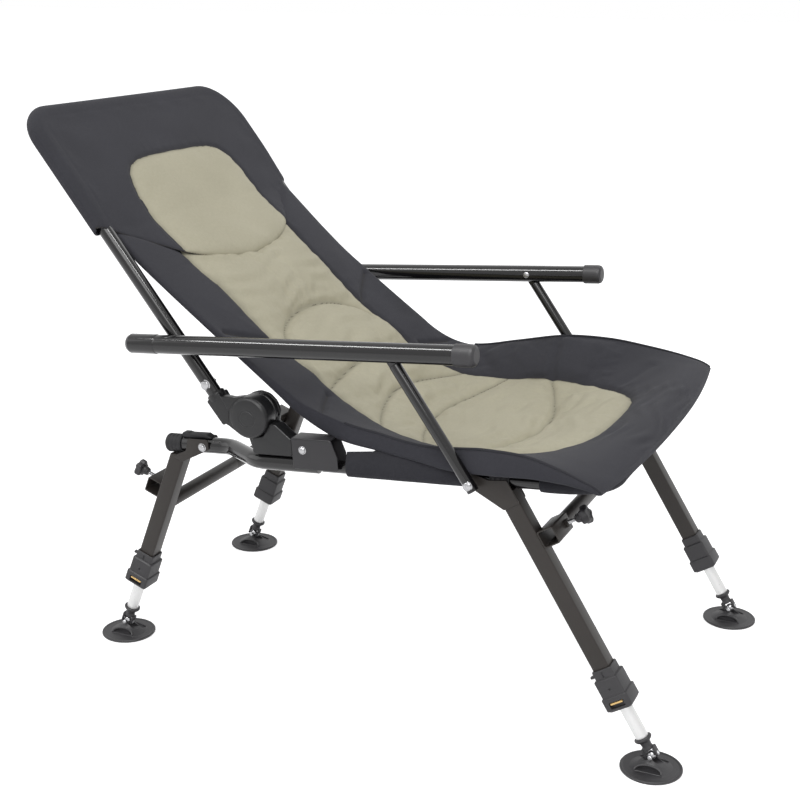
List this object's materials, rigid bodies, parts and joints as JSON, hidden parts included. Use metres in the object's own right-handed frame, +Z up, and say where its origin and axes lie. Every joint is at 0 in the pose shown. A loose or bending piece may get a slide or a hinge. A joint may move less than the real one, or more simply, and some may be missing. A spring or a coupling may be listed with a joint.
{
  "type": "reclining fishing chair",
  "caption": "Low folding armchair on telescopic legs with swivel foot pads, a reclining padded back, linked armrests and square accessory sockets.",
  "frame": {"origin": "middle of the bounding box at floor level", "axes": "+Z up, +X out of the front of the seat, +Y to the sitter's left"},
  "size_m": [1.0402, 0.6596, 0.8532],
  "materials": {
    "gloss_black_tube": "gloss",
    "brown_satin_steel": "satin",
    "matte_black_plastic": "matte",
    "bright_alloy": "satin",
    "bright_zinc": "bright",
    "brass_plate": "satin",
    "charcoal_fabric": "matte weave",
    "khaki_fabric": "matte soft"
  },
  "bodies": {
    "seat": {"rear_rail_right": "gloss_black_tube", "rear_rail_left": "gloss_black_tube", "rear_rail_cap_right": "matte_black_plastic", "rear_rail_cap_left": "matte_black_plastic", "rail_bumper_right": "matte_black_plastic", "rail_bumper_left": "matte_black_plastic", "seat_rail": "gloss_black_tube", "rail_bracket_right": "brown_satin_steel", "rail_bracket_left": "brown_satin_steel", "hub_base_right": "matte_black_plastic", "hub_base_left": "matte_black_plastic", "rail_clip_right": "matte_black_plastic", "rail_clip_left": "matte_black_plastic", "seat_pad": "khaki_fabric", "sling": "charcoal_fabric"},
    "recline": {"hub_arm_right": "matte_black_plastic", "hub_arm_left": "matte_black_plastic", "hub_cover_right": "matte_black_plastic", "hub_cover_left": "matte_black_plastic", "back_tube": "gloss_black_tube", "back_pad": "khaki_fabric", "head_hood": "charcoal_fabric"},
    "front_fold": {"front_leg_frame": "brown_satin_steel", "lock_collar_front_right": "matte_black_plastic", "lock_collar_front_left": "matte_black_plastic"},
    "rear_fold": {"rear_leg_frame": "brown_satin_steel", "lock_collar_rear_right": "matte_black_plastic", "lock_collar_rear_left": "matte_black_plastic"},
    "front_knob_right": {"front_knob_right": "matte_black_plastic"},
    "lock_front_right": {"lock_plate_front_right": "brass_plate"},
    "slide_front_right": {"inner_leg_front_right": "bright_alloy", "leg_plug_front_right": "matte_black_plastic"},
    "knuckle_front_right": {"foot_knuckle_front_right": "bright_zinc"},
    "foot_front_right": {"foot_pad_front_right": "matte_black_plastic"},
    "front_knob_left": {"front_knob_left": "matte_black_plastic"},
    "lock_front_left": {"lock_plate_front_left": "brass_plate"},
    "slide_front_left": {"inner_leg_front_left": "bright_alloy", "leg_plug_front_left": "matte_black_plastic"},
    "knuckle_front_left": {"foot_knuckle_front_left": "bright_zinc"},
    "foot_front_left": {"foot_pad_front_left": "matte_black_plastic"},
    "rear_knob_right": {"rear_knob_right": "matte_black_plastic"},
    "lock_rear_right": {"lock_plate_rear_right": "brass_plate"},
    "slide_rear_right": {"inner_leg_rear_right": "bright_alloy", "leg_plug_rear_right": "matte_black_plastic"},
    "knuckle_rear_right": {"foot_knuckle_rear_right": "bright_zinc"},
    "foot_rear_right": {"foot_pad_rear_right": "matte_black_plastic"},
    "rear_knob_left": {"rear_knob_left": "matte_black_plastic"},
    "lock_rear_left": {"lock_plate_rear_left": "brass_plate"},
    "slide_rear_left": {"inner_leg_rear_left": "bright_alloy", "leg_plug_rear_left": "matte_black_plastic"},
    "knuckle_rear_left": {"foot_knuckle_rear_left": "bright_zinc"},
    "foot_rear_left": {"foot_pad_rear_left": "matte_black_plastic"},
    "arm_right": {"armrest_right": "gloss_black_tube", "arm_rear_grip_right": "matte_black_plastic", "arm_front_grip_right": "matte_black_plastic"},
    "strut_right": {"arm_strut_right": "gloss_black_tube"},
    "arm_left": {"armrest_left": "gloss_black_tube", "arm_rear_grip_left": "matte_black_plastic", "arm_front_grip_left": "matte_black_plastic"},
    "strut_left": {"arm_strut_left": "gloss_black_tube"}
  },
  "joints": [
    {"name": "back_recline", "type": "hinge", "parent": "seat", "child": "recline", "pos_m": [-0.14069, 0, 0.42998], "axis": [0, 1, 0], "range_deg": [-20, 20]},
    {"name": "front_legs_fold", "type": "hinge", "parent": "seat", "child": "front_fold", "pos_m": [0.21075, 0, 0.38603], "axis": [0, 1, 0], "range_deg": [0, 100]},
    {"name": "rear_legs_fold", "type": "hinge", "parent": "seat", "child": "rear_fold", "pos_m": [-0.25575, 0, 0.35119], "axis": [0, -1, 0], "range_deg": [0, 95]},
    {"name": "front_knob_right_turn", "type": "hinge", "parent": "front_fold", "child": "front_knob_right", "pos_m": [0.33046, -0.2285, 0.32773], "axis": [0.8471, 0, 0.5314], "continuous": true},
    {"name": "lock_plate_front_right_press", "type": "hinge", "parent": "front_fold", "child": "lock_front_right", "pos_m": [0.42944, -0.2805, 0.09824], "axis": [0.8471, 0, 0.5314], "range_deg": [0, 8], "stiffness_Nm_per_rad": 1.2},
    {"name": "leg_front_right_extend", "type": "slide", "parent": "front_fold", "child": "slide_front_right", "axis": [0.5314, 0, -0.8471], "range_m": [-0.03, 0.08]},
    {"name": "foot_front_right_sway", "type": "hinge", "parent": "slide_front_right", "child": "knuckle_front_right", "pos_m": [0.47726, -0.2605, 0.022], "axis": [0.8471, 0, 0.5314], "range_deg": [-10, 10]},
    {"name": "foot_front_right_tilt", "type": "hinge", "parent": "knuckle_front_right", "child": "foot_front_right", "pos_m": [0.47726, -0.2605, 0.022], "axis": [0, 1, 0], "range_deg": [-20, 20]},
    {"name": "front_knob_left_turn", "type": "hinge", "parent": "front_fold", "child": "front_knob_left", "pos_m": [0.33046, 0.2285, 0.32773], "axis": [0.8471, 0, 0.5314], "continuous": true},
    {"name": "lock_plate_front_left_press", "type": "hinge", "parent": "front_fold", "child": "lock_front_left", "pos_m": [0.42944, 0.2805, 0.09824], "axis": [-0.8471, 0, -0.5314], "range_deg": [0, 8], "stiffness_Nm_per_rad": 1.2},
    {"name": "leg_front_left_extend", "type": "slide", "parent": "front_fold", "child": "slide_front_left", "axis": [0.5314, 0, -0.8471], "range_m": [-0.03, 0.08]},
    {"name": "foot_front_left_sway", "type": "hinge", "parent": "slide_front_left", "child": "knuckle_front_left", "pos_m": [0.47726, 0.2605, 0.022], "axis": [0.8471, 0, 0.5314], "range_deg": [-10, 10]},
    {"name": "foot_front_left_tilt", "type": "hinge", "parent": "knuckle_front_left", "child": "foot_front_left", "pos_m": [0.47726, 0.2605, 0.022], "axis": [0, 1, 0], "range_deg": [-20, 20]},
    {"name": "rear_knob_right_turn", "type": "hinge", "parent": "rear_fold", "child": "rear_knob_right", "pos_m": [-0.36598, -0.186, 0.27344], "axis": [-0.9348, 0, 0.3551], "continuous": true},
    {"name": "lock_plate_rear_right_press", "type": "hinge", "parent": "rear_fold", "child": "lock_rear_right", "pos_m": [-0.38878, -0.229, 0.10613], "axis": [0.9348, 0, -0.3551], "range_deg": [0, 8], "stiffness_Nm_per_rad": 1.2},
    {"name": "leg_rear_right_extend", "type": "slide", "parent": "rear_fold", "child": "slide_rear_right", "axis": [-0.3551, 0, -0.9348], "range_m": [-0.03, 0.08]},
    {"name": "foot_rear_right_sway", "type": "hinge", "parent": "slide_rear_right", "child": "knuckle_rear_right", "pos_m": [-0.42074, -0.209, 0.022], "axis": [0.9348, 0, -0.3551], "range_deg": [-10, 10]},
    {"name": "foot_rear_right_tilt", "type": "hinge", "parent": "knuckle_rear_right", "child": "foot_rear_right", "pos_m": [-0.42074, -0.209, 0.022], "axis": [0, 1, 0], "range_deg": [-20, 20]},
    {"name": "rear_knob_left_turn", "type": "hinge", "parent": "rear_fold", "child": "rear_knob_left", "pos_m": [-0.36598, 0.186, 0.27344], "axis": [-0.9348, 0, 0.3551], "continuous": true},
    {"name": "lock_plate_rear_left_press", "type": "hinge", "parent": "rear_fold", "child": "lock_rear_left", "pos_m": [-0.38878, 0.229, 0.10613], "axis": [-0.9348, 0, 0.3551], "range_deg": [0, 8], "stiffness_Nm_per_rad": 1.2},
    {"name": "leg_rear_left_extend", "type": "slide", "parent": "rear_fold", "child": "slide_rear_left", "axis": [-0.3551, 0, -0.9348], "range_m": [-0.03, 0.08]},
    {"name": "foot_rear_left_sway", "type": "hinge", "parent": "slide_rear_left", "child": "knuckle_rear_left", "pos_m": [-0.42074, 0.209, 0.022], "axis": [0.9348, 0, -0.3551], "range_deg": [-10, 10]},
    {"name": "foot_rear_left_tilt", "type": "hinge", "parent": "knuckle_rear_left", "child": "foot_rear_left", "pos_m": [-0.42074, 0.209, 0.022], "axis": [0, 1, 0], "range_deg": [-20, 20]},
    {"name": "arm_right_swing", "type": "hinge", "parent": "recline", "child": "arm_right", "pos_m": [-0.26212, -0.291, 0.52968], "axis": [0, 1, 0], "range_deg": [-18, 18]},
    {"name": "strut_right_swing", "type": "hinge", "parent": "arm_right", "child": "strut_right", "pos_m": [0.08715, -0.291, 0.55778], "axis": [0, 1, 0], "range_deg": [-10, 10]},
    {"name": "arm_left_swing", "type": "hinge", "parent": "recline", "child": "arm_left", "pos_m": [-0.26212, 0.291, 0.52968], "axis": [0, 1, 0], "range_deg": [-18, 18]},
    {"name": "strut_left_swing", "type": "hinge", "parent": "arm_left", "child": "strut_left", "pos_m": [0.08715, 0.291, 0.55778], "axis": [0, 1, 0], "range_deg": [-10, 10]}
  ],
  "couplings": [
    {"joint": "arm_right_swing", "follows": "back_recline", "ratio": -0.8619},
    {"joint": "strut_right_swing", "follows": "back_recline", "ratio": 0.4565},
    {"joint": "arm_left_swing", "follows": "back_recline", "ratio": -0.8619},
    {"joint": "strut_left_swing", "follows": "back_recline", "ratio": 0.4565}
  ]
}
